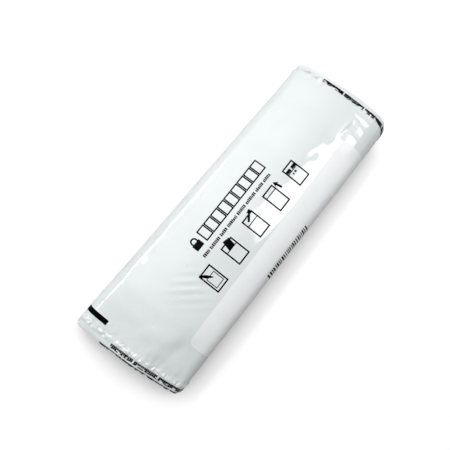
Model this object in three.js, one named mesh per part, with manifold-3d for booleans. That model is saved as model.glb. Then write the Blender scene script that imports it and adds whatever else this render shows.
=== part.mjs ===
// Security envelope: an empty tamper-evident plastic bag, rolled flat from its bottom edge.
// Units are millimetres. X runs along the bag's width, from one side weld to the other,
// +Y points to the bag's upper end on the top panel, and +Z is up. The pack lies on z = 0.
import * as THREE from 'three';
import { mergeVertices } from 'three/addons/utils/BufferGeometryUtils.js';
import Module from 'manifold-3d';

// Driving dimensions of the rolled bag
const bagWidth = 260;              // between the cut edges of the two side welds
const packWidth = 89;              // over the two outer folds
const wall = 0.5;                  // both collapsed film walls with the air left between them
const upperFoldRadius = 9;         // outer fold at the +Y edge, to the middle of the wall
const lowerFoldRadius = 11;        // outer fold at the -Y edge
const upperCrownAngle = 16;        // degrees that the top panel rises where it leaves the +Y fold
const lowerCrownAngle = 12;        // degrees that it drops where it enters the -Y fold
const flapEdgeGap = 4.5;           // from the label's lower edge to the flap's free edge, under the pack
const innerUpperFoldRadius = 6;    // inner fold at the +Y edge
const innerUpperFoldInset = 4.5;   // clear space between the outer and the inner +Y fold
const innerLowerFoldRadius = 5;    // inner fold at the -Y edge
const innerLowerFoldInset = 8;     // clear space between the outer and the inner -Y fold
const innerCrownAngle = 12;        // slope of the inner top layer where it meets its folds
const crownHandle = 1 / 3;         // share of a panel's width over which its end slope carries on
const coreRise = 7;                // height of the innermost layer over the one below it
const coreEdgeGap = 12;            // from the bag's bottom edge to the inner +Y fold

// Driving dimensions of the closure and the label
const seatGap = 0.3;               // clearance between pieces that are stuck or laid together
const adhesiveThickness = 0.2;
const adhesiveWidth = 24;
const adhesiveEdge = 7;            // from the flap's free edge to the adhesive
const adhesiveEndMargin = 8;       // bare film at each end of the adhesive, over the side weld
const linerThickness = 0.2;
const linerOverhang = 3;           // how far the liner reaches past the adhesive on each side
const linerEndMargin = 4;
const labelThickness = 0.25;
const labelLength = 191;
const labelOffset = 0.3;           // label's middle from the bag's middle, along X
const labelTopReach = 21.5;        // from the pack's -Y edge to the label's upper edge on the top panel
const labelUnderReach = 6;         // how far the label runs on under the pack, past the -Y fold
const labelCornerRadius = 5;

// Fineness of the curved stretches
const foldSteps = 20;
const crownSteps = 16;
const cornerSteps = 8;
const edgeSearchSteps = 40;        // halvings when the label's upper edge is looked for on the crown
const weldTolerance = 1e-4;        // corners nearer than this are one corner

const radians = THREE.MathUtils.degToRad;

// Heights of the middle of the wall in the two lowest layers
const closureStack = 3 * seatGap + adhesiveThickness + linerThickness;
const firstLayerZ = wall / 2;
const secondLayerZ = firstLayerZ + wall + closureStack;

// Centres of the four folds, as (y, z)
const reach = packWidth / 2 - wall / 2;
const upperFold = new THREE.Vector2(reach - upperFoldRadius, firstLayerZ + upperFoldRadius);
const lowerFold = new THREE.Vector2(-reach + lowerFoldRadius, secondLayerZ + lowerFoldRadius);
const innerUpperFold = new THREE.Vector2(
  reach - wall - innerUpperFoldInset - innerUpperFoldRadius,
  secondLayerZ + innerUpperFoldRadius,
);
const coreZ = secondLayerZ + coreRise;
const innerLowerFold = new THREE.Vector2(
  -reach + wall + innerLowerFoldInset + innerLowerFoldRadius,
  coreZ + innerLowerFoldRadius,
);

function pointOnFold(centre, radius, angle) {
  return new THREE.Vector2(centre.x + radius * Math.cos(angle), centre.y + radius * Math.sin(angle));
}

// A fold is an arc that the film follows from angle to angle, always turning the same way
function foldCurve(centre, radius, from, to) {
  return { curve: new THREE.EllipseCurve(centre.x, centre.y, radius, radius, from, to), steps: foldSteps };
}

// A crowned panel leaves one fold and enters the next along their tangents
function crownCurve(start, startAngle, end, endAngle) {
  const handle = start.distanceTo(end) * crownHandle;
  const leave = pointOnFold(start, handle, startAngle + Math.PI / 2);
  const enter = pointOnFold(end, handle, endAngle - Math.PI / 2);
  return { curve: new THREE.CubicBezierCurve(start, leave, enter, end), steps: crownSteps };
}

function flatRun(start, end) {
  return { curve: new THREE.LineCurve(start, end), steps: 1 };
}

// The stretches of the film's middle line, from the flap's free edge to the bag's bottom edge
const bottom = -Math.PI / 2;
const nextBottom = 1.5 * Math.PI;
const upperLeave = Math.PI / 2 - radians(upperCrownAngle);
const lowerEnter = Math.PI / 2 + radians(lowerCrownAngle);
const innerLeave = Math.PI / 2 - radians(innerCrownAngle);
const innerEnter = Math.PI / 2 + radians(innerCrownAngle);
const labelLowerEdge = lowerFold.x + labelUnderReach;
const labelUpperEdge = -packWidth / 2 + labelTopReach;
const flapEdge = new THREE.Vector2(labelLowerEdge + flapEdgeGap, firstLayerZ);
const bottomEdge = new THREE.Vector2(
  innerUpperFold.x + innerUpperFoldRadius - wall - coreEdgeGap,
  coreZ,
);

const flapRun = flatRun(flapEdge, pointOnFold(upperFold, upperFoldRadius, bottom));
const upperBend = foldCurve(upperFold, upperFoldRadius, bottom, upperLeave);
const topPanel = crownCurve(
  pointOnFold(upperFold, upperFoldRadius, upperLeave), upperLeave,
  pointOnFold(lowerFold, lowerFoldRadius, lowerEnter), lowerEnter,
);
const lowerBend = foldCurve(lowerFold, lowerFoldRadius, lowerEnter, nextBottom);
const secondRun = flatRun(
  pointOnFold(lowerFold, lowerFoldRadius, nextBottom),
  pointOnFold(innerUpperFold, innerUpperFoldRadius, bottom),
);
const innerUpperBend = foldCurve(innerUpperFold, innerUpperFoldRadius, bottom, innerLeave);
const innerPanel = crownCurve(
  pointOnFold(innerUpperFold, innerUpperFoldRadius, innerLeave), innerLeave,
  pointOnFold(innerLowerFold, innerLowerFoldRadius, innerEnter), innerEnter,
);
const innerLowerBend = foldCurve(innerLowerFold, innerLowerFoldRadius, innerEnter, nextBottom);
const coreLayer = flatRun(pointOnFold(innerLowerFold, innerLowerFoldRadius, nextBottom), bottomEdge);

// Points along a chain of stretches, each with the outward normal of the film there
function sampleLine(stretches) {
  const samples = [];
  for (const { curve, steps } of stretches) {
    for (let step = 0; step <= steps; step += 1) {
      const share = step / steps;
      const point = curve.getPoint(share);
      const along = curve.getTangent(share);
      const last = samples[samples.length - 1];
      if (!last || last.point.distanceTo(point) > wall / 10) {
        samples.push({ point, outward: new THREE.Vector2(along.y, -along.x) });
      }
    }
  }
  return samples;
}

// The closed section of a layer that lies between two distances from the film's middle line
function layerSection(samples, innerFace, outerFace) {
  const outer = samples.map(({ point, outward }) => point.clone().addScaledVector(outward, outerFace));
  const inner = samples.map(({ point, outward }) => point.clone().addScaledVector(outward, innerFace));
  return new THREE.Shape([...outer, ...inner.reverse()]);
}

// Extrudes a (y, z) section along X, with its middle at a given X
function extrudeAlongX(section, length, middle) {
  const geometry = new THREE.ExtrudeGeometry(section, { depth: length, bevelEnabled: false });
  geometry.translate(0, 0, middle - length / 2);
  geometry.applyMatrix4(new THREE.Matrix4().makeBasis(
    new THREE.Vector3(0, 1, 0),
    new THREE.Vector3(0, 0, 1),
    new THREE.Vector3(1, 0, 0),
  ));
  return geometry;
}

const wasm = await Module();
wasm.setup();

function toSolid(geometry) {
  const bare = geometry.clone();
  bare.deleteAttribute('normal');
  bare.deleteAttribute('uv');
  const merged = mergeVertices(bare, weldTolerance);
  return new wasm.Manifold(new wasm.Mesh({
    numProp: 3,
    vertProperties: new Float32Array(merged.attributes.position.array),
    triVerts: new Uint32Array(merged.index.array),
  }));
}

function toGeometry(solid) {
  const mesh = solid.getMesh();
  const geometry = new THREE.BufferGeometry();
  geometry.setAttribute('position', new THREE.BufferAttribute(mesh.vertProperties, 3));
  geometry.setIndex(new THREE.BufferAttribute(mesh.triVerts, 1));
  geometry.computeVertexNormals();
  return geometry;
}

// What is cut off a square corner to round it: the corner's square less a quarter disc.
// The corner points towards signX and signY, and the cut runs from lowZ to highZ.
function cornerCutter(cornerX, cornerY, signX, signY, lowZ, highZ) {
  const radius = labelCornerRadius;
  const spare = 1;
  const shape = new THREE.Shape();
  shape.moveTo(radius, 0);
  for (let step = 1; step <= cornerSteps; step += 1) {
    const angle = (step / cornerSteps) * (Math.PI / 2);
    shape.lineTo(radius * Math.cos(angle), radius * Math.sin(angle));
  }
  shape.lineTo(-spare, radius);
  shape.lineTo(-spare, radius + spare);
  shape.lineTo(radius + spare, radius + spare);
  shape.lineTo(radius + spare, -spare);
  shape.lineTo(radius, -spare);
  const geometry = new THREE.ExtrudeGeometry(shape, { depth: highZ - lowZ, bevelEnabled: false });
  const turn = Math.atan2(signY, signX) - Math.PI / 4;
  geometry.rotateZ(turn);
  geometry.translate(cornerX - signX * radius, cornerY - signY * radius, lowZ);
  return geometry;
}

function makeEnvelope() {
  const line = sampleLine([
    flapRun, upperBend, topPanel, lowerBend, secondRun,
    innerUpperBend, innerPanel, innerLowerBend, coreLayer,
  ]);
  return extrudeAlongX(layerSection(line, -wall / 2, wall / 2), bagWidth, 0);
}

// A flat strip on the upper face of the flap, measured from the flap's free edge
function makeStrip(fromEdge, width, lowFace, thickness, endMargin) {
  const low = flapEdge.x + fromEdge;
  const section = new THREE.Shape([
    new THREE.Vector2(low, lowFace),
    new THREE.Vector2(low + width, lowFace),
    new THREE.Vector2(low + width, lowFace + thickness),
    new THREE.Vector2(low, lowFace + thickness),
  ]);
  return extrudeAlongX(section, bagWidth - 2 * endMargin, 0);
}

// The sample of the top panel's middle line at a given Y, found by halving
function topPanelAt(y) {
  let before = 0;
  let after = 1;
  for (let halving = 0; halving < edgeSearchSteps; halving += 1) {
    const middle = (before + after) / 2;
    if (topPanel.curve.getPoint(middle).x > y) before = middle;
    else after = middle;
  }
  const along = topPanel.curve.getTangent(before);
  return { point: topPanel.curve.getPoint(before), outward: new THREE.Vector2(along.y, -along.x) };
}

// The label wraps the -Y fold outside the film: top panel, fold, and a short run beneath
function makeLabel() {
  const edge = topPanelAt(labelUpperEdge);
  const crown = sampleLine([topPanel]).filter(({ point }) => point.x < labelUpperEdge - wall);
  const foldEnd = pointOnFold(lowerFold, lowerFoldRadius, nextBottom);
  const underRun = flatRun(foldEnd, new THREE.Vector2(labelLowerEdge, foldEnd.y));
  const line = [edge, ...crown, ...sampleLine([lowerBend, underRun]).slice(1)];
  const innerFace = wall / 2 + seatGap;
  const outerFace = innerFace + labelThickness;
  const section = layerSection(line, innerFace, outerFace);
  let label = toSolid(extrudeAlongX(section, labelLength, labelOffset));
  for (const signX of [-1, 1]) {
    const cornerX = labelOffset + signX * labelLength / 2;
    const upperLow = edge.point.y - lowerFoldRadius / 2;
    const upperHigh = edge.point.y + lowerFoldRadius;
    const upperCut = cornerCutter(cornerX, labelUpperEdge, signX, 1, upperLow, upperHigh);
    const lowerCut = cornerCutter(cornerX, labelLowerEdge, signX, 1, -lowerFoldRadius, foldEnd.y);
    label = label.subtract(toSolid(upperCut)).subtract(toSolid(lowerCut));
  }
  return toGeometry(label);
}

const filmWhite = new THREE.MeshStandardMaterial({ color: 0xe4eceb, roughness: 0.22, metalness: 0 });
const labelWhite = new THREE.MeshStandardMaterial({ color: 0xefefe9, roughness: 0.75, metalness: 0 });
const adhesiveGrey = new THREE.MeshStandardMaterial({ color: 0xb9bcb4, roughness: 0.5, metalness: 0 });
const linerWhite = new THREE.MeshStandardMaterial({ color: 0xe9e4d2, roughness: 0.45, metalness: 0 });

const envelope = new THREE.Group();

function addPiece(name, geometry, material) {
  const mesh = new THREE.Mesh(geometry, material);
  mesh.name = name;
  envelope.add(mesh);
}

const adhesiveLow = wall + seatGap;
const linerLow = adhesiveLow + adhesiveThickness + seatGap;
addPiece('envelope_film', makeEnvelope(), filmWhite);
addPiece('write_on_label', makeLabel(), labelWhite);
addPiece(
  'closure_adhesive',
  makeStrip(adhesiveEdge, adhesiveWidth, adhesiveLow, adhesiveThickness, adhesiveEndMargin),
  adhesiveGrey,
);
addPiece(
  'release_liner',
  makeStrip(
    adhesiveEdge - linerOverhang, adhesiveWidth + 2 * linerOverhang,
    linerLow, linerThickness, linerEndMargin,
  ),
  linerWhite,
);

export default envelope;
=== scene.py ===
import bisect
import math
import random

import bmesh
import bpy
from mathutils import Matrix, Vector, noise
from mathutils.geometry import interpolate_bezier


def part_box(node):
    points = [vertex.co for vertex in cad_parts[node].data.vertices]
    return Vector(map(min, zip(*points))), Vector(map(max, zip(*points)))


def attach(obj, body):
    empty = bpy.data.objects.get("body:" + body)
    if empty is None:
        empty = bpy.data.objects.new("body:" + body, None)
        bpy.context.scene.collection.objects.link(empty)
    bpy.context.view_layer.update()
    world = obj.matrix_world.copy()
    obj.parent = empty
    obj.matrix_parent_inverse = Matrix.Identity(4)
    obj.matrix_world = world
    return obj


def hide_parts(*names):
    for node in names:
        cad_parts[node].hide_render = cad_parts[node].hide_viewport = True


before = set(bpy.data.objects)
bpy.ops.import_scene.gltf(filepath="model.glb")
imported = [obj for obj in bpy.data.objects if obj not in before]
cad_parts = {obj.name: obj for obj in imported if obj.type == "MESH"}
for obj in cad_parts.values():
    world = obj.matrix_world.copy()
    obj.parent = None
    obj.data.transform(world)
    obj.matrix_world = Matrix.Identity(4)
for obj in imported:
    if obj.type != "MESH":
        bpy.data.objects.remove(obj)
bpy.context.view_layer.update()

# The envelope is one web of glossy white polyethylene film, folded and welded at both sides into a bag.
# It was rolled flat from its bottom edge, so the flap lies outermost, under the pack.
# Here u runs across the bag from weld to weld and v down the bag, with v = 0 at the middle of its top panel.
MM = 0.001
film_low, film_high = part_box("envelope_film")
bag_width = film_high.x - film_low.x
pack_reach = film_high.y
wall_space = 0.5 * MM
film_thickness = 0.3 * MM
upper_fold_radius = 9 * MM
lower_fold_radius = 11 * MM
inner_upper_radius = 6 * MM
inner_lower_radius = 5 * MM
upper_crown = math.radians(16)
lower_crown = math.radians(20)
inner_crown = math.radians(12)
even_fullness = 1 / 3
lower_fullness = 0.2
flap_edge_y = -22.75 * MM
second_layer_z = 2.05 * MM
core_layer_z = 9.05 * MM
core_edge_y = 26.75 * MM
inner_upper_inset = 5 * MM
inner_lower_inset = 8.5 * MM
roll_skew = 0.0209
flap_rows = 4
upper_bend_rows = 34
top_panel_rows = 110
lower_bend_rows = 40
second_run_rows = 6
inner_bend_rows = 12
inner_panel_rows = 16
core_run_rows = 8
first_layer_z = wall_space / 2
fold_reach = pack_reach - wall_space / 2
upper_fold = Vector((fold_reach - upper_fold_radius, first_layer_z + upper_fold_radius))
lower_fold = Vector((lower_fold_radius - fold_reach, second_layer_z + lower_fold_radius))
inner_upper_fold = Vector((
    fold_reach - inner_upper_inset - inner_upper_radius,
    second_layer_z + inner_upper_radius,
))
inner_lower_fold = Vector((
    inner_lower_inset + inner_lower_radius - fold_reach,
    core_layer_z + inner_lower_radius,
))
straight_down = -math.pi / 2
straight_up = math.pi / 2
down_again = 3 * math.pi / 2


def fold_line(centre, radius, start, end, rows):
    """Points of the film's middle line round one fold, as (y, z)."""
    points = []
    for row in range(rows + 1):
        angle = start + (end - start) * row / rows
        points.append(centre + radius * Vector((math.cos(angle), math.sin(angle))))
    return points


def crown_line(fold_before, angle_before, fold_after, angle_after, fullness, rows):
    """Points of a crowned panel between the last point of one fold and the first of the next."""
    start = fold_before[-1]
    end = fold_after[0]
    span = (end - start).length
    leave = start + span * even_fullness * Vector((-math.sin(angle_before), math.cos(angle_before)))
    enter = end - span * fullness * Vector((-math.sin(angle_after), math.cos(angle_after)))
    return interpolate_bezier(start, leave, enter, end, rows + 1)


def straight_line(start, end, rows):
    return [start.lerp(end, row / rows) for row in range(rows + 1)]


# The folds turn from straight down to a little short of straight up, and on from a little past it
upper_leave = straight_up - upper_crown
lower_enter = straight_up + lower_crown
inner_leave = straight_up - inner_crown
inner_enter = straight_up + inner_crown
upper_bend = fold_line(upper_fold, upper_fold_radius, straight_down, upper_leave, upper_bend_rows)
lower_bend = fold_line(lower_fold, lower_fold_radius, lower_enter, down_again, lower_bend_rows)
inner_upper_bend = fold_line(
    inner_upper_fold, inner_upper_radius, straight_down, inner_leave, inner_bend_rows)
inner_lower_bend = fold_line(
    inner_lower_fold, inner_lower_radius, inner_enter, down_again, inner_bend_rows)
top_panel = crown_line(
    upper_bend, upper_leave, lower_bend, lower_enter, lower_fullness, top_panel_rows)
inner_panel = crown_line(
    inner_upper_bend, inner_leave, inner_lower_bend, inner_enter, even_fullness, inner_panel_rows)
flap_run = straight_line(Vector((flap_edge_y, first_layer_z)), upper_bend[0], flap_rows)
second_run = straight_line(lower_bend[-1], inner_upper_bend[0], second_run_rows)
core_run = straight_line(inner_lower_bend[-1], Vector((core_edge_y, core_layer_z)), core_run_rows)
roll_line = flap_run[:1]
for stretch in (flap_run, upper_bend, top_panel, lower_bend, second_run,
                inner_upper_bend, inner_panel, inner_lower_bend, core_run):
    roll_line += [Vector(point[:2]) for point in stretch[1:]]
roll_marks = [0.0]
for before, after in zip(roll_line, roll_line[1:]):
    roll_marks.append(roll_marks[-1] + (after - before).length)


def mark_of(point):
    """How far along the film a point of its middle line lies."""
    nearest = min(range(len(roll_line)), key=lambda index: (roll_line[index] - point).length)
    return roll_marks[nearest]


crest = min(top_panel, key=lambda point: abs(point[0]))
top_middle = mark_of(Vector(crest[:2])) + crest[0]
outer_turn_start = mark_of(upper_bend[0]) - top_middle
outer_turn_end = mark_of(lower_bend[-1]) - top_middle
inner_turn_start = mark_of(inner_upper_bend[0]) - top_middle


def roll_direction(index):
    """Direction of the film's middle line at one of its points, from the points beside it."""
    before = roll_line[max(index - 1, 0)]
    after = roll_line[min(index + 1, len(roll_line) - 1)]
    return (after - before).normalized()


roll_directions = [roll_direction(index) for index in range(len(roll_line))]


def on_roll(mark):
    """Place and outward normal of the film's middle line at a distance from the flap's edge."""
    index = min(max(bisect.bisect_right(roll_marks, mark) - 1, 0), len(roll_line) - 2)
    share = (mark - roll_marks[index]) / (roll_marks[index + 1] - roll_marks[index])
    place = roll_line[index].lerp(roll_line[index + 1], share)
    inside = min(max(share, 0.0), 1.0)
    along = roll_directions[index].lerp(roll_directions[index + 1], inside).normalized()
    return place, Vector((along.y, -along.x))


def smooth_step(low, high, value):
    share = min(max((value - low) / (high - low), 0.0), 1.0)
    return share * share * (3 - 2 * share)


def fade_from(value, middle, spread):
    """1 at the middle, dying away on both sides of it over about the spread."""
    return math.exp(-((value - middle) / spread) ** 2)


def run_past(value, start, reach):
    """How far a value lies past a start, up to a reach."""
    return min(max(value - start, 0), reach)


def wander(u, v, size, pattern):
    """Smooth noise between about -1 and 1, with features of one size; each pattern number gives another."""
    return noise.noise(Vector((u / size, v / size, pattern)))


# The side edges are cut a little askew and draw in where they go round the folds
near_overhang = 0.9 * MM
near_slant = 0.06
near_slant_from = -30 * MM
near_slant_reach = 75 * MM
corner_from = 41 * MM
corner_reach = 15 * MM
corner_slope = 0.3
far_shortfall = 0.3 * MM
far_flare = 1.6 * MM
far_flare_row = 15 * MM
far_flare_spread = 26 * MM
far_corner_share = 1.2
far_upper_corner_from = -36 * MM
far_upper_corner_slope = 0.2


def corner_cut(v):
    """How far the side edges draw in where they go round the lower fold; they ease back inside the roll."""
    drawn = corner_slope * run_past(v, corner_from, corner_reach)
    return drawn * (1 - smooth_step(outer_turn_end, inner_turn_start, v))


def near_edge(v):
    """The near side edge, as u at one v."""
    slant = near_slant * run_past(v, near_slant_from, near_slant_reach)
    return -bag_width / 2 - near_overhang + slant + corner_cut(v)


def far_edge(v):
    """The far side edge, which flares where it nears the lower fold, as u at one v."""
    flare = far_flare * fade_from(v, far_flare_row, far_flare_spread)
    drawn = far_upper_corner_slope * run_past(far_upper_corner_from - v, 0, corner_reach)
    return bag_width / 2 - far_shortfall + flare - drawn - far_corner_share * corner_cut(v)


# Each weld is a broken bead with crinkles on it, and puckers run in from it
near_weld = 4.7 * MM
far_weld = 4.2 * MM
pucker_depth = 0.42 * MM
pucker_size = 3.4 * MM
pucker_length = 3
pucker_reach = 8 * MM
pucker_overrun = 1.6 * MM
crinkle_depth = 0.7 * MM
crinkle_size = 2.6 * MM
crinkle_inset = 0.8 * MM
crinkle_spread = 2 * MM
bead_height = 0.8 * MM
bead_inset = 0.3 * MM
bead_width = 1.3 * MM
bead_break = 4 * MM
far_weld_strong = 1.5
far_weld_weak = 0.3
far_weak_from = -20 * MM
far_weak_full = -8 * MM
weld_from = -53 * MM
weld_full = -44 * MM


def weld_rise(u, v, inside, pattern):
    """The relief of one side weld, from how far inside the weld's line a spot lies."""
    reach = pucker_reach if inside > 0 else pucker_overrun
    pucker = pucker_depth * fade_from(inside, 0, reach)
    pucker *= wander(u / pucker_length, v, pucker_size, pattern)
    ridges = 0.5 - 2 * abs(wander(u, v, crinkle_size, pattern + 2.2))
    crinkle = crinkle_depth * fade_from(inside, crinkle_inset, crinkle_spread) * ridges
    broken = 0.55 + 0.9 * wander(u, v, bead_break, pattern + 6.4)
    bead = bead_height * fade_from(inside, bead_inset, bead_width) * broken
    return pucker + crinkle + bead


def both_welds_rise(u, v):
    """The relief of both welds; the far one weakens down the bag, and both run out round the upper fold."""
    weakened = smooth_step(far_weak_from, far_weak_full, v)
    far_strength = far_weld_strong + (far_weld_weak - far_weld_strong) * weakened
    near = weld_rise(u, v, u - near_edge(v) - near_weld, 3.7)
    far = far_strength * weld_rise(u, v, far_edge(v) - far_weld - u, 5.1)
    return (near + far) * smooth_step(weld_from, weld_full, v)


# The slack film swells and dimples all over, most along the label and on the upper shoulder
swell_depth = 0.45 * MM
swell_size = 60 * MM
swell_length = 1.6
small_swell_depth = 0.25 * swell_depth
small_swell_size = 22 * MM
dimple_depth = 0.09 * MM
dimple_size = 9 * MM
slack_depth = 0.22 * MM
slack_size = 7 * MM
slack_length = 0.7
slack_from = -10 * MM
slack_full = 50 * MM
slack_row = 13 * MM
slack_spread = 14 * MM
shoulder_depth = 0.16 * MM
shoulder_length = 0.5
shoulder_row = -42 * MM
shoulder_spread = 9 * MM


def slack_rise(u, v):
    """The broad swells and small dimples of the slack film."""
    swell = swell_depth * wander(u, v * swell_length, swell_size, 1.1)
    swell += small_swell_depth * wander(u, v, small_swell_size, 2.4)
    dimple = dimple_depth * wander(u, v, dimple_size, 4.6)
    slack_zone = smooth_step(slack_from, slack_full, u) * fade_from(v, slack_row, slack_spread)
    dimple += slack_depth * slack_zone * wander(u * slack_length, v, slack_size, 9.3)
    shoulder_zone = fade_from(v, shoulder_row, shoulder_spread)
    dimple += shoulder_depth * shoulder_zone * wander(u * shoulder_length, v, slack_size, 11.9)
    return swell + dimple


# Each crease of the far corner: its two ends as (u, v), its height and its half width, in millimetres
far_creases = [
    ((119.5, 14), (118, 33), 0.6, 1.4),
    ((96.5, 16.4), (113, 19.5), 0.55, 1.4),
    ((114.5, 21), (109, 33), 0.65, 1.5),
    ((103, 22.5), (100, 33), 0.6, 1.5),
]
crease_ends = 0.12


def crease_rise(u, v, start, end, height, half_width):
    """A soft ridge from start to end that runs out at both ends."""
    spot = Vector((u, v)) / MM
    first = Vector(start)
    run = Vector(end) - first
    share = min(max((spot - first).dot(run) / run.length_squared, 0.0), 1.0)
    away = (spot - first - run * share).length
    swept = math.sin(math.pi * (crease_ends + (1 - 2 * crease_ends) * share))
    return height * MM * fade_from(away, 0, half_width) * swept


# The film lies flat across the far corner up to a line, and only then turns down round the lower fold
facet_from = 10 * MM
facet_to = 32 * MM
facet_turn = 14 * MM
facet_height = 1.2 * MM
facet_side = 80 * MM
facet_full = 96 * MM


def facet_rise(u, v):
    """How far the flat part of the far corner stands off the crowned panel."""
    share = max(v - facet_from, 0) / (facet_to - facet_from)
    lifted = facet_height * min(share, 1.0) ** 2
    turned_down = smooth_step(facet_to, facet_to + facet_turn, v)
    return lifted * smooth_step(facet_side, facet_full, u) * (1 - turned_down)


# The top panel has a patch of slanting ripples, and dents where its near lower corner was squeezed
ripple_middle = Vector((-66 * MM, 4 * MM))
ripple_reach = 13 * MM
ripple_length = 6.4 * MM
ripple_depth = 0.18 * MM
ripple_direction = Vector((0.77, -0.64))
dent_depth = 0.7 * MM
dent_size = 9 * MM
dent_middle = Vector((-108 * MM, 14 * MM))
dent_reach = Vector((18 * MM, 30 * MM))


def ripple_rise(u, v):
    away = Vector((u, v)) - ripple_middle
    wave = math.sin(2 * math.pi * away.dot(ripple_direction) / ripple_length)
    return ripple_depth * fade_from(away.length, 0, ripple_reach) * wave


def dent_rise(u, v):
    zone = fade_from(u, dent_middle.x, dent_reach.x) * fade_from(v, dent_middle.y, dent_reach.y)
    return dent_depth * zone * wander(u, v, dent_size, 8.2)


# Relief eases in and out round the outer folds, so that the film under the pack lies flat
ease_in = 2 * MM
ease_out = 4 * MM
ease_length = 18 * MM
core_wave_depth = 0.8 * MM
core_wave_size = 45 * MM
core_wave_from = 5 * MM
core_wave_full = 25 * MM


def film_relief(u, v):
    """How far the film stands off its rolled shape, in the inner turn and in the outer one."""
    shown = smooth_step(outer_turn_start + ease_in, outer_turn_start + ease_length, v)
    shown *= 1 - smooth_step(outer_turn_end - ease_length, outer_turn_end + ease_out, v)
    wound_in = smooth_step(inner_turn_start + core_wave_from, inner_turn_start + core_wave_full, v)
    rise = core_wave_depth * wound_in * wander(u, v, core_wave_size, 7.3)
    if shown == 0:
        return rise
    creases = sum(crease_rise(u, v, *crease) for crease in far_creases)
    outer = slack_rise(u, v) + both_welds_rise(u, v) + dent_rise(u, v)
    outer += ripple_rise(u, v) + creases + facet_rise(u, v)
    return rise + shown * outer


# The near weld pulls the roll flat, so the top panel sinks towards it, most past a slanting crease
end_drop = 2.4 * MM
end_drop_from = -88 * MM
end_drop_curve = 1.5
corner_fall = 2.0 * MM
corner_fall_from = -76 * MM
corner_fall_full = -104 * MM
slant_crease_start = Vector((-121 * MM, 5 * MM))
slant_crease_slope = 0.23
slant_crease_width = 14 * MM
sink_from = -50 * MM
sink_full = -28 * MM
sink_until = 30 * MM
sink_end = 56 * MM


def end_sink(u, v):
    """How far the film sinks at the near end."""
    share = max(end_drop_from - u, 0) / (end_drop_from + bag_width / 2)
    crease_row = slant_crease_start.y + slant_crease_slope * (u - slant_crease_start.x)
    past_crease = smooth_step(0, slant_crease_width, v - crease_row)
    fallen = corner_fall * past_crease * (1 - smooth_step(corner_fall_full, corner_fall_from, u))
    on_top = smooth_step(sink_from, sink_full, v) * (1 - smooth_step(sink_until, sink_end, v))
    return on_top * (end_drop * share ** end_drop_curve + fallen)


def film_point(u, v, lift):
    """Where a point of the flat bag lies once the bag is rolled, lift above the film's middle."""
    place, outward = on_roll(top_middle + v - roll_skew * u)
    side = place + outward * (lift + film_relief(u, v)) - Vector((0, end_sink(u, v)))
    askew = roll_skew * min(max(v, outer_turn_start), outer_turn_end)
    return Vector((u + askew, side.x, side.y))


def add_object(name, mesh_data, material):
    mesh_data.materials.append(material)
    piece = bpy.data.objects.new(name, mesh_data)
    bpy.context.scene.collection.objects.link(piece)
    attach(piece, "root")
    return piece


def mesh_from(made, name):
    """Turns a finished bmesh into a smooth mesh whose open borders stay crisp."""
    for edge in made.edges:
        edge.smooth = not edge.is_boundary
    for face in made.faces:
        face.smooth = True
    mesh_data = bpy.data.meshes.new(name)
    made.to_mesh(mesh_data)
    made.free()
    return mesh_data


def give_thickness(piece, thickness, offset):
    """Gives a sheet its wall: half to each side with an offset of 0, all of it outward with 1."""
    wall = piece.modifiers.new("thickness", "SOLIDIFY")
    wall.thickness = thickness
    wall.offset = offset


def new_material(name):
    material = bpy.data.materials.new(name)
    material.use_nodes = True
    nodes = material.node_tree.nodes
    return material, nodes, material.node_tree.links, nodes["Principled BSDF"]


def noise_node(nodes, links, scale, detail):
    """Noise on the piece's own place in the frame, in features per metre."""
    place = nodes.new("ShaderNodeTexCoord")
    texture = nodes.new("ShaderNodeTexNoise")
    texture.inputs["Scale"].default_value = scale
    texture.inputs["Detail"].default_value = detail
    links.new(place.outputs["Object"], texture.inputs["Vector"])
    return texture


def ramp_node(nodes, links, source, first, last):
    """A ramp between two stops, each a position and a colour."""
    ramp = nodes.new("ShaderNodeValToRGB")
    for element, (position, colour) in zip(ramp.color_ramp.elements, (first, last)):
        element.position = position
        element.color = colour
    links.new(source, ramp.inputs["Fac"])
    return ramp


def range_node(nodes, links, source, low, high):
    """Spreads a value from 0 to 1 over the range from low to high."""
    spread = nodes.new("ShaderNodeMapRange")
    spread.inputs["To Min"].default_value = low
    spread.inputs["To Max"].default_value = high
    links.new(source, spread.inputs["Value"])
    return spread


def bump_node(nodes, links, source, strength, distance, shader):
    bump = nodes.new("ShaderNodeBump")
    bump.inputs["Strength"].default_value = strength
    bump.inputs["Distance"].default_value = distance
    links.new(source, bump.inputs["Height"])
    links.new(bump.outputs["Normal"], shader.inputs["Normal"])
    return bump


# Polyethylene film: faint clouding, a gloss that varies a little, a fine grain and a few pips
black = (0, 0, 0, 1)
white = (1, 1, 1, 1)
film_pale = (0.775, 0.82, 0.817, 1)
film_cool = (0.745, 0.795, 0.792, 1)
film_material, nodes, links, shader = new_material("glossy_white_film")
shader.inputs["Specular IOR Level"].default_value = 0.7
clouding = noise_node(nodes, links, scale=30, detail=3)
tint = ramp_node(nodes, links, clouding.outputs["Fac"], (0.35, film_cool), (0.65, film_pale))
links.new(tint.outputs["Color"], shader.inputs["Base Color"])
haze = noise_node(nodes, links, scale=90, detail=4)
sheen = range_node(nodes, links, haze.outputs["Fac"], low=0.04, high=0.11)
links.new(sheen.outputs["Result"], shader.inputs["Roughness"])
grain = noise_node(nodes, links, scale=700, detail=5)
grain_bump = bump_node(nodes, links, grain.outputs["Fac"], 0.08, 0.05 * MM, shader)
specks = noise_node(nodes, links, scale=550, detail=1)
pips = ramp_node(nodes, links, specks.outputs["Fac"], (0.68, black), (0.76, white))
pip_bump = bump_node(nodes, links, pips.outputs["Color"], 0.5, 0.2 * MM, shader)
links.new(grain_bump.outputs["Normal"], pip_bump.inputs["Normal"])

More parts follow.
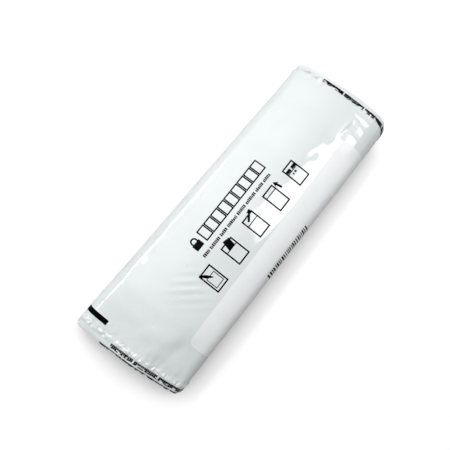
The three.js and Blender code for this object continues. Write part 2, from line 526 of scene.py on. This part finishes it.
# The flat web is a grid, crowded towards the welds and divided again where the film is most crumpled
columns = 120
end_crowding = 0.6
edge_pull_from = 0.5
rows = len(roll_line) - 1
fine_strip = 15 * MM
fine_from = outer_turn_start + 14 * MM
fine_to = outer_turn_end - 14 * MM
crease_zone_side = 94 * MM
crease_zone_from = 10 * MM
crease_zone_to = 38 * MM
ripple_zone_reach = 1.4 * ripple_reach
film_mesh = bmesh.new()
bmesh.ops.create_grid(film_mesh, x_segments=columns, y_segments=rows, size=1)
for vertex in film_mesh.verts:
    across = vertex.co.x
    crowded = (1 - end_crowding) * across + end_crowding * math.sin(across * math.pi / 2)
    v = roll_marks[round((1 - vertex.co.y) / 2 * rows)] - top_middle
    near_pull = smooth_step(edge_pull_from, 1, -across) * (near_edge(v) + bag_width / 2)
    far_pull = smooth_step(edge_pull_from, 1, across) * (far_edge(v) - bag_width / 2)
    vertex.co = (crowded * bag_width / 2 + near_pull + far_pull, v, 0)


def needs_detail(edge):
    """True beside the two side welds, round the creases and on the ripples."""
    middle = (edge.verts[0].co + edge.verts[1].co) / 2
    if not fine_from < middle.y < fine_to:
        return False
    beside_weld = abs(middle.x) > bag_width / 2 - fine_strip
    creased = middle.x > crease_zone_side and crease_zone_from < middle.y < crease_zone_to
    rippled = (middle.xy - ripple_middle).length < ripple_zone_reach
    return beside_weld or creased or rippled


fine_edges = [edge for edge in film_mesh.edges if needs_detail(edge)]
bmesh.ops.subdivide_edges(film_mesh, edges=fine_edges, cuts=1, use_grid_fill=True)
for vertex in film_mesh.verts:
    vertex.co = film_point(vertex.co.x, vertex.co.y, 0)
bmesh.ops.recalc_face_normals(film_mesh, faces=film_mesh.faces)
film = add_object("rolled_envelope_film", mesh_from(film_mesh, "rolled_envelope_film"), film_material)
give_thickness(film, film_thickness, offset=0)
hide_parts("envelope_film")

# The bag's back wall shows as a narrow margin beyond the front wall along the near side weld.
# It is the same film, trimmed a little wider than the front when the bags were cut apart.
margin_width = 6 * MM
margin_overhang = 1.7 * MM
margin_drop = -1.3 * MM
margin_columns = 6
margin_rows = 180
margin_mesh = bmesh.new()
bmesh.ops.create_grid(margin_mesh, x_segments=margin_columns, y_segments=margin_rows, size=1)
for vertex in margin_mesh.verts:
    v = outer_turn_start + (1 - vertex.co.y) / 2 * (outer_turn_end - outer_turn_start)
    inward = (1 + vertex.co.x) / 2 * margin_width
    vertex.co = film_point(near_edge(v) - margin_overhang + inward, v, margin_drop)
margin = add_object("back_wall_margin", mesh_from(margin_mesh, "back_wall_margin"), film_material)
give_thickness(margin, film_thickness, offset=0)

# The print is one black flexographic ink laid on the flat film before it was folded into a bag.
# It is a row of boxes to fill in, a line of small marks, five plain pictograms and a register bar.
# Its places and widths on the flat film are in millimetres.
ink_lift = film_thickness / 2 + 0.03 * MM
ink_thickness = 0.04 * MM
longest_step = 1.5
corner_overlap = 0.9


def ink_stroke(flat, start, end, width):
    """A straight stroke on the flat film, cut short enough along its length to bend with it."""
    first = Vector(start) * MM
    run = Vector(end) * MM - first
    steps = max(1, round(run.length / (longest_step * MM)))
    length = run.length + corner_overlap * width * MM
    turn = Matrix.Rotation(math.atan2(run.y, run.x), 4, "Z")
    place = Matrix.Translation((first + run / 2).to_3d()) @ turn
    made = bmesh.ops.create_grid(flat, x_segments=steps, y_segments=1, size=0.5)
    for vertex in made["verts"]:
        vertex.co = place @ Vector((vertex.co.x * length, vertex.co.y * width * MM, 0))


def ink_line(flat, points, width):
    for start, end in zip(points, points[1:]):
        ink_stroke(flat, start, end, width)


def ink_patch(flat, corners, across, down):
    """A filled shape with four corners, divided so that it bends with the film."""
    made = bmesh.ops.create_grid(flat, x_segments=across, y_segments=down, size=0.5)
    first, second, third, fourth = [Vector(corner) * MM for corner in corners]
    for vertex in made["verts"]:
        share = vertex.co.x + 0.5
        upper = first.lerp(second, share)
        lower = fourth.lerp(third, share)
        vertex.co = upper.lerp(lower, vertex.co.y + 0.5).to_3d()


def box_corners(left, top, width, height):
    return [(left, top), (left + width, top), (left + width, top + height), (left, top + height)]


def closed(corners):
    return corners + corners[:1]


def wrap_flat(flat, lift):
    """Lays a flat print on the rolled film, with its faces outward."""
    for vertex in flat.verts:
        vertex.co = film_point(vertex.co.x, vertex.co.y, lift)
    for face in flat.faces:
        middle = face.calc_center_median()
        spine = Vector((middle.x, 0, 0.5 * film_high.z))
        if face.normal.dot(middle - spine) < 0:
            face.normal_flip()


ink_black = (0.0012, 0.0012, 0.0016, 1)
ink_thin = (0.004, 0.004, 0.0045, 1)
ink_material, nodes, links, shader = new_material("black_print_ink")
shader.inputs["Specular IOR Level"].default_value = 0.03
density = noise_node(nodes, links, scale=400, detail=4)
cover = ramp_node(nodes, links, density.outputs["Fac"], (0.3, ink_thin), (0.55, ink_black))
links.new(cover.outputs["Color"], shader.inputs["Base Color"])
ink_sheen = range_node(nodes, links, density.outputs["Fac"], low=0.07, high=0.14)
links.new(ink_sheen.outputs["Result"], shader.inputs["Roughness"])


def finish_print(flat, name, lift):
    flat.normal_update()
    wrap_flat(flat, lift)
    flat.normal_update()
    printed = add_object(name, mesh_from(flat, name), ink_material)
    give_thickness(printed, ink_thickness, offset=1)


entry_boxes = bmesh.new()
box_count = 9
box_pitch = 7.9
box_width = 6.6
box_height = 9.4
box_stroke = 1.1
first_box = -31.0
box_top = -20.4
for box in range(box_count):
    outline = box_corners(first_box + box * box_pitch, box_top, box_width, box_height)
    ink_line(entry_boxes, closed(outline), box_stroke)
# The padlock before the boxes has a solid body and a round shackle on two short legs
lock_left = -41.6
lock_width = 7.4
lock_top = -16.4
lock_height = 5.4
shackle_radius = 2.3
shackle_stroke = 1.2
shackle_steps = 8
leg_height = 1.2
leg_foot = 0.3
ink_patch(entry_boxes, box_corners(lock_left, lock_top, lock_width, lock_height), 5, 4)
lock_middle = lock_left + lock_width / 2
shackle_points = [(lock_middle - shackle_radius, lock_top + leg_foot)]
for step in range(shackle_steps + 1):
    angle = math.pi * step / shackle_steps
    shackle_points.append((
        lock_middle - shackle_radius * math.cos(angle),
        lock_top - leg_height - shackle_radius * math.sin(angle),
    ))
shackle_points.append((lock_middle + shackle_radius, lock_top + leg_foot))
ink_line(entry_boxes, shackle_points, shackle_stroke)
finish_print(entry_boxes, "entry_boxes", ink_lift)

random.seed(4)
small_marks = bmesh.new()
mark_row = -5.4
mark_height = 2.5
mark_gap = 0.35
mark_group_gap = 1.1
mark_row_end = 33
place_u = -41.9
while place_u < mark_row_end:
    group_size = random.randint(4, 9)
    for mark in range(group_size):
        mark_width = random.choice([0.8, 1.0, 1.2])
        lowered = random.choice([0, 0, 0.5])
        top = mark_row - mark_height / 2 + lowered
        ink_patch(small_marks, box_corners(place_u, top, mark_width, mark_height - lowered), 1, 2)
        place_u += mark_width + mark_gap
    place_u += mark_group_gap
finish_print(small_marks, "small_mark_line", ink_lift)

icon_count = 5
icon_left = -55.0
icon_pitch = 24.9
icon_width = 11.0
icon_top = 1.1
icon_height = 16.7
pouch_stroke = 1.15
fold_stroke = 0.75
field_stroke = 0.6
arrow_stroke = 1.7


def icon_spots(icon, points):
    """Moves points from a pictogram's own corner to its place on the film."""
    return [(icon_left + icon * icon_pitch + across, icon_top + down) for across, down in points]


def icon_line(icon, points, width):
    ink_line(pictograms, icon_spots(icon, points), width)


def icon_fill(icon, corners):
    ink_patch(pictograms, icon_spots(icon, corners), 4, 4)


def icon_fold(icon, down):
    icon_line(icon, [(0, down), (icon_width, down)], fold_stroke)


pictograms = bmesh.new()
for icon in range(icon_count):
    icon_line(icon, closed(box_corners(0, 0, icon_width, icon_height)), pouch_stroke)
# Fill in: a field to write on, with a pen over it
icon_line(0, closed(box_corners(1.6, 5.2, 7.8, 9.0)), field_stroke)
icon_fill(0, [(0.9, -1.0), (4.2, 2.9), (2.2, 4.3), (-0.5, -0.1)])
icon_fill(0, [(4.2, 2.9), (6.4, 7.5), (5.9, 7.9), (2.2, 4.3)])
# Put in: a black sheet slides into the open mouth
icon_fold(1, 5.3)
icon_fill(1, [(4.7, -2.5), (10.0, -1.2), (9.0, 5.3), (2.8, 5.3)])
# Peel: an arrow pulls the strip above the mouth off to one side
icon_fold(2, 5.4)
icon_line(2, [(3.8, 3.0), (9.0, -0.8)], arrow_stroke)
icon_fill(2, [(7.0, -2.0), (10.9, -2.8), (11.3, 1.2), (9.2, -0.8)])
# Fold: an arrow beside the pouch shows which way the flap goes
icon_fold(3, 3.6)
icon_line(3, [(14.7, 6.2), (14.1, 2.2)], arrow_stroke)
icon_fill(3, [(13.2, -0.9), (16.4, 2.3), (14.1, 2.2), (12.0, 3.0)])
# Closed: the dark seal strip lies across the flap, over two small spots
icon_fold(4, 5.3)
icon_fill(4, box_corners(0.6, 2.4, 4.4, 2.4))
icon_fill(4, box_corners(6.2, 2.4, 4.4, 2.4))
icon_fill(4, box_corners(3.4, 6.8, 1.0, 1.6))
icon_fill(4, box_corners(5.6, 6.6, 1.6, 1.6))
finish_print(pictograms, "pictograms", ink_lift)

register_bar = bmesh.new()
bar_left = -120.5
bar_width = 3.7
bar_end = -29.4
bar_length = 33
ink_patch(register_bar, box_corners(bar_left, bar_end - bar_length, bar_width, bar_length), 4, 44)
finish_print(register_bar, "register_bar", ink_lift)

# Both side welds carry a row of small security marks, in groups, that starts below the flap.
# They are printed in the same ink over the weld, so a cut through it can be seen.
# A third row of thin dark marks runs along the back wall's margin, just beyond the front wall's edge.
weld_mark_from = -18.2
back_mark_from = -26.0
weld_mark_to = 70.0
near_mark_height = 2.4
far_mark_height = 2.8
back_mark_height = 0.7
near_mark_inset = 2.2
far_mark_place = 126.3
back_mark_overhang = 1.1
group_marks = 14
mark_pitch = 1.36
group_gap = 1.0
tie_width = 0.6
tie_chance = 0.5
weld_mark_lift = ink_lift + 0.12 * MM
back_mark_lift = ink_lift + margin_drop + 0.1 * MM


def weld_marks(flat, edge_row, height, fill, start):
    """A row of block marks that fill a share of their pitch, with their middles at u = edge_row(v)."""
    place = start
    count = 0
    while place < weld_mark_to:
        width = mark_pitch * (fill + random.choice([-0.09, 0, 0.07]))
        side = edge_row(place) - height / 2
        cut = random.choice([0, 0, 0.25 * height, 0.4 * height])
        ink_patch(flat, box_corners(side + cut, place, height - cut, width), 5, 2)
        if random.random() < tie_chance:
            ink_stroke(flat, (side, place), (side, place + mark_pitch), tie_width)
        place += mark_pitch
        count += 1
        if count % group_marks == 0:
            place += group_gap


def near_row(v):
    return near_edge(v * MM) / MM + near_mark_inset


def far_row(v):
    return far_mark_place - far_corner_share * corner_cut(v * MM) / MM


def back_row(v):
    return near_edge(v * MM) / MM - back_mark_overhang


for name, edge_row, height, fill, start, lift in (
        ("near_weld_marks", near_row, near_mark_height, 0.84, weld_mark_from, weld_mark_lift),
        ("far_weld_marks", far_row, far_mark_height, 0.92, weld_mark_from, weld_mark_lift),
        ("back_wall_marks", back_row, back_mark_height, 0.9, back_mark_from, back_mark_lift)):
    marks = bmesh.new()
    weld_marks(marks, edge_row, height, fill, start)
    finish_print(marks, name, lift)

# The write-on label is a matt white self-adhesive label with rounded corners.
# It is stuck on the front of the bag and goes round the lower fold with it.
label_low, label_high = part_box("write_on_label")
label_length = label_high.x - label_low.x
label_middle = label_low.x + label_length / 2
label_top = 22.9 * MM
label_bottom = 77 * MM
label_corner = 5 * MM
label_thickness = 0.1 * MM
label_lift = film_thickness / 2 + 0.02 * MM
label_columns = 150
label_rows = 90
label_crowding = 0.45
label_white = (0.885, 0.915, 0.912, 1)
label_grey = (0.865, 0.895, 0.89, 1)
label_material, nodes, links, shader = new_material("matt_label_paper")
shader.inputs["Specular IOR Level"].default_value = 0.45
fibre = noise_node(nodes, links, scale=160, detail=5)
paper = ramp_node(nodes, links, fibre.outputs["Fac"], (0.3, label_grey), (0.7, label_white))
links.new(paper.outputs["Color"], shader.inputs["Base Color"])
matt = range_node(nodes, links, fibre.outputs["Fac"], low=0.38, high=0.5)
links.new(matt.outputs["Result"], shader.inputs["Roughness"])
tooth = noise_node(nodes, links, scale=2200, detail=4)
bump_node(nodes, links, tooth.outputs["Fac"], 0.15, 0.05 * MM, shader)


def corner_inset(v):
    """How much shorter a row of the label is at each end, where its corners are rounded."""
    depth = min(v - label_top, label_bottom - v)
    if depth >= label_corner:
        return 0.0
    return label_corner - math.sqrt(max(label_corner ** 2 - (label_corner - depth) ** 2, 0.0))


label_mesh = bmesh.new()
bmesh.ops.create_grid(label_mesh, x_segments=label_columns, y_segments=label_rows, size=1)
for vertex in label_mesh.verts:
    share = (1 - vertex.co.y) / 2
    crowded = (1 - label_crowding) * share + label_crowding * (1 - math.cos(math.pi * share)) / 2
    v = label_top + crowded * (label_bottom - label_top)
    half = label_length / 2 - corner_inset(v)
    vertex.co = film_point(label_middle + vertex.co.x * half, v, label_lift)
label = add_object("write_on_label_sheet", mesh_from(label_mesh, "write_on_label_sheet"), label_material)
give_thickness(label, label_thickness, offset=1)
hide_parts("write_on_label")

# The bar code is black thermal-transfer print, laid on the label before it was stuck on the bag.
# Its plain bars have chance widths and gaps, so they say nothing.
random.seed(11)
bar_code = bmesh.new()
bars_from = -24.0
bars_to = 23.8
bars_top = 40.2
bars_height = 15.0
bars_lift = label_lift + label_thickness + 0.03 * MM
place_u = bars_from
while place_u < bars_to:
    width = random.choice([0.7, 0.9, 1.2, 1.5])
    ink_patch(bar_code, box_corners(place_u, bars_top, width, bars_height), 1, 20)
    place_u += width + random.choice([0.7, 0.9, 1.3])
finish_print(bar_code, "bar_code", bars_lift)

# The closure is a strip of pressure-sensitive adhesive on the flap, under a siliconised paper liner.
# Both lie between the flap and the next layer of the roll, and show only at the pack's ends.
adhesive_pale = (0.46, 0.48, 0.44, 1)
adhesive_dark = (0.4, 0.42, 0.38, 1)
liner_pale = (0.78, 0.74, 0.62, 1)
liner_dark = (0.72, 0.68, 0.56, 1)


def closure_material(name, dark, pale, scale, detail, roughness):
    """A plain strip's material, with a mottled colour and an even gloss."""
    material, nodes, links, shader = new_material(name)
    mottling = noise_node(nodes, links, scale, detail)
    colour = ramp_node(nodes, links, mottling.outputs["Fac"], (0.3, dark), (0.7, pale))
    links.new(colour.outputs["Color"], shader.inputs["Base Color"])
    shader.inputs["Roughness"].default_value = roughness
    return material


adhesive_material = closure_material("closure_adhesive", adhesive_dark, adhesive_pale, 120, 3, 0.45)
liner_material = closure_material("release_paper", liner_dark, liner_pale, 250, 5, 0.4)
for node_name, material in (("closure_adhesive", adhesive_material), ("release_liner", liner_material)):
    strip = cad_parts[node_name]
    strip.data.materials.clear()
    strip.data.materials.append(material)

# The table is a plain matt white board, and the pack lies loose on it.
# A glow that only the camera sees whitens the ground of the picture. It fades close to the pack,
# on the sides turned away from the window, which paints a soft shadow there on top of the lamps' own shadow.
table_size = 6.0
table_white = (0.6, 0.6, 0.6, 1)
table_grey = (0.585, 0.585, 0.585, 1)
table_glow = 0.55
shadow_reach = 60 * MM
shadow_full = 0.2
shadow_none = 0.85
painted_shadow_lean_direction = (0.38, 0.36, 0.85)
table_material, nodes, links, shader = new_material("white_table")
shader.inputs["Roughness"].default_value = 0.9
shader.inputs["Specular IOR Level"].default_value = 0.0
mottle = noise_node(nodes, links, scale=3, detail=2)
table_tint = ramp_node(nodes, links, mottle.outputs["Fac"], (0.0, table_grey), (1.0, table_white))
links.new(table_tint.outputs["Color"], shader.inputs["Base Color"])
shader.inputs["Emission Color"].default_value = white
rays = nodes.new("ShaderNodeLightPath")
# Painted shadow: occlusion near the pack, leaned towards the window side, cuts back the camera-only glow.
painted_shadow_occlusion = nodes.new("ShaderNodeAmbientOcclusion")
painted_shadow_occlusion.inputs["Distance"].default_value = shadow_reach
painted_shadow_lean = nodes.new("ShaderNodeNormal")
painted_shadow_lean.outputs["Normal"].default_value = painted_shadow_lean_direction
links.new(painted_shadow_lean.outputs["Normal"], painted_shadow_occlusion.inputs["Normal"])
glow_outside_painted_shadow = range_node(nodes, links, painted_shadow_occlusion.outputs["AO"], low=0, high=table_glow)
glow_outside_painted_shadow.inputs["From Min"].default_value = shadow_full
glow_outside_painted_shadow.inputs["From Max"].default_value = shadow_none
glow = nodes.new("ShaderNodeMath")
glow.operation = "MULTIPLY"
links.new(glow_outside_painted_shadow.outputs["Result"], glow.inputs[0])
links.new(rays.outputs["Is Camera Ray"], glow.inputs[1])
links.new(glow.outputs["Value"], shader.inputs["Emission Strength"])
table_mesh = bmesh.new()
bmesh.ops.create_grid(table_mesh, x_segments=2, y_segments=2, size=table_size / 2)
table = bpy.data.objects.new("table", mesh_from(table_mesh, "table"))
table.data.materials.append(table_material)
bpy.context.scene.collection.objects.link(table)

# The room is pale and brightest on its window side, and plain white where the camera looks past the table.
# Three soft boxes hang in it: a strip over the far end, whose mirror image is the glare on the top panel,
# a large key box with a faded rim, and a narrow side box that draws the bright line on the upper fold.
room_dim = 0.0
room_bright = 0.5
bright_side = (0.55, 0.7, 0.45)
world = bpy.data.worlds.new("pale_room")
bpy.context.scene.world = world
world.use_nodes = True
nodes = world.node_tree.nodes
links = world.node_tree.links
direction = nodes.new("ShaderNodeTexCoord")
towards = nodes.new("ShaderNodeVectorMath")
towards.operation = "DOT_PRODUCT"
towards.inputs[1].default_value = bright_side
links.new(direction.outputs["Generated"], towards.inputs[0])
shade = range_node(nodes, links, towards.outputs["Value"], room_dim, room_bright)
shade.inputs["From Min"].default_value = -1
backdrop = nodes.new("ShaderNodeMix")
backdrop.inputs["B"].default_value = 1
seen = nodes.new("ShaderNodeLightPath")
links.new(seen.outputs["Is Camera Ray"], backdrop.inputs["Factor"])
links.new(shade.outputs["Result"], backdrop.inputs["A"])
links.new(backdrop.outputs["Result"], nodes["Background"].inputs["Strength"])
nodes["Background"].inputs["Color"].default_value = white
pack_middle = (0, 0, 0.02)
rim_fade_from = 0.15
rim_fade_to = 0.5


def soft_box(name, place, target, along, width, height, power):
    """A rectangular area lamp at one place, facing another, with its width along a direction."""
    lamp = bpy.data.lights.new(name, "AREA")
    lamp.shape = "RECTANGLE"
    lamp.size = width
    lamp.size_y = height
    lamp.energy = power
    holder = bpy.data.objects.new(name, lamp)
    back = (Vector(place) - Vector(target)).normalized()
    side = (Vector(along) - back * Vector(along).dot(back)).normalized()
    facing = Matrix((side, back.cross(side), back)).transposed().to_4x4()
    holder.matrix_world = Matrix.Translation(place) @ facing
    bpy.context.scene.collection.objects.link(holder)
    return lamp


def fade_rim(lamp):
    """Lets a lamp die away from its middle to its rim, so that its mirror image has no hard edge."""
    lamp.use_nodes = True
    nodes = lamp.node_tree.nodes
    links = lamp.node_tree.links
    spot = nodes.new("ShaderNodeNewGeometry")
    from_middle = nodes.new("ShaderNodeVectorMath")
    from_middle.operation = "DISTANCE"
    from_middle.inputs[1].default_value = (0.5, 0.5, 0)
    links.new(spot.outputs["Parametric"], from_middle.inputs[0])
    fade = range_node(nodes, links, from_middle.outputs["Value"], low=1, high=0)
    fade.interpolation_type = "SMOOTHSTEP"
    fade.inputs["From Min"].default_value = rim_fade_from
    fade.inputs["From Max"].default_value = rim_fade_to
    links.new(fade.outputs["Result"], nodes["Emission"].inputs["Strength"])


soft_box("strip_box", place=(0.292, -0.1, 0.626), target=(0.292, -0.1, 0), along=(0.934, -0.356, 0),
         width=0.36, height=0.19, power=1.28)
key_box = soft_box("key_box", place=(0.2, 0.52, 0.9), target=pack_middle, along=(1, 0, 0),
                   width=1.6, height=1.25, power=12.7)
fade_rim(key_box)
soft_box("side_box", place=(-0.03, 0.69, 0.76), target=pack_middle, along=(1, 0, 0),
         width=0.75, height=0.12, power=2.3)

# The camera stands close over the pack, a little towards its near end, and turned so that
# the pack runs from the lower left of the picture to the upper right.
camera_place = Vector((-56.87, 14.53, 281.0)) * MM
camera_aim = Vector((-13.87, 7.33, 20.0)) * MM
picture_up = Vector((0.7598, 0.6412, 0.1075))
camera_data = bpy.data.cameras.new("camera")
camera_data.sensor_width = 36
camera_data.lens = 28.74
camera_data.clip_start = 0.01
camera = bpy.data.objects.new("camera", camera_data)
backward = (camera_place - camera_aim).normalized()
rightward = picture_up.cross(backward).normalized()
upward = backward.cross(rightward)
turned = Matrix((rightward, upward, backward)).transposed().to_4x4()
camera.matrix_world = Matrix.Translation(camera_place) @ turned
bpy.context.scene.collection.objects.link(camera)
bpy.context.scene.camera = camera
bpy.context.scene.view_settings.view_transform = "Standard"
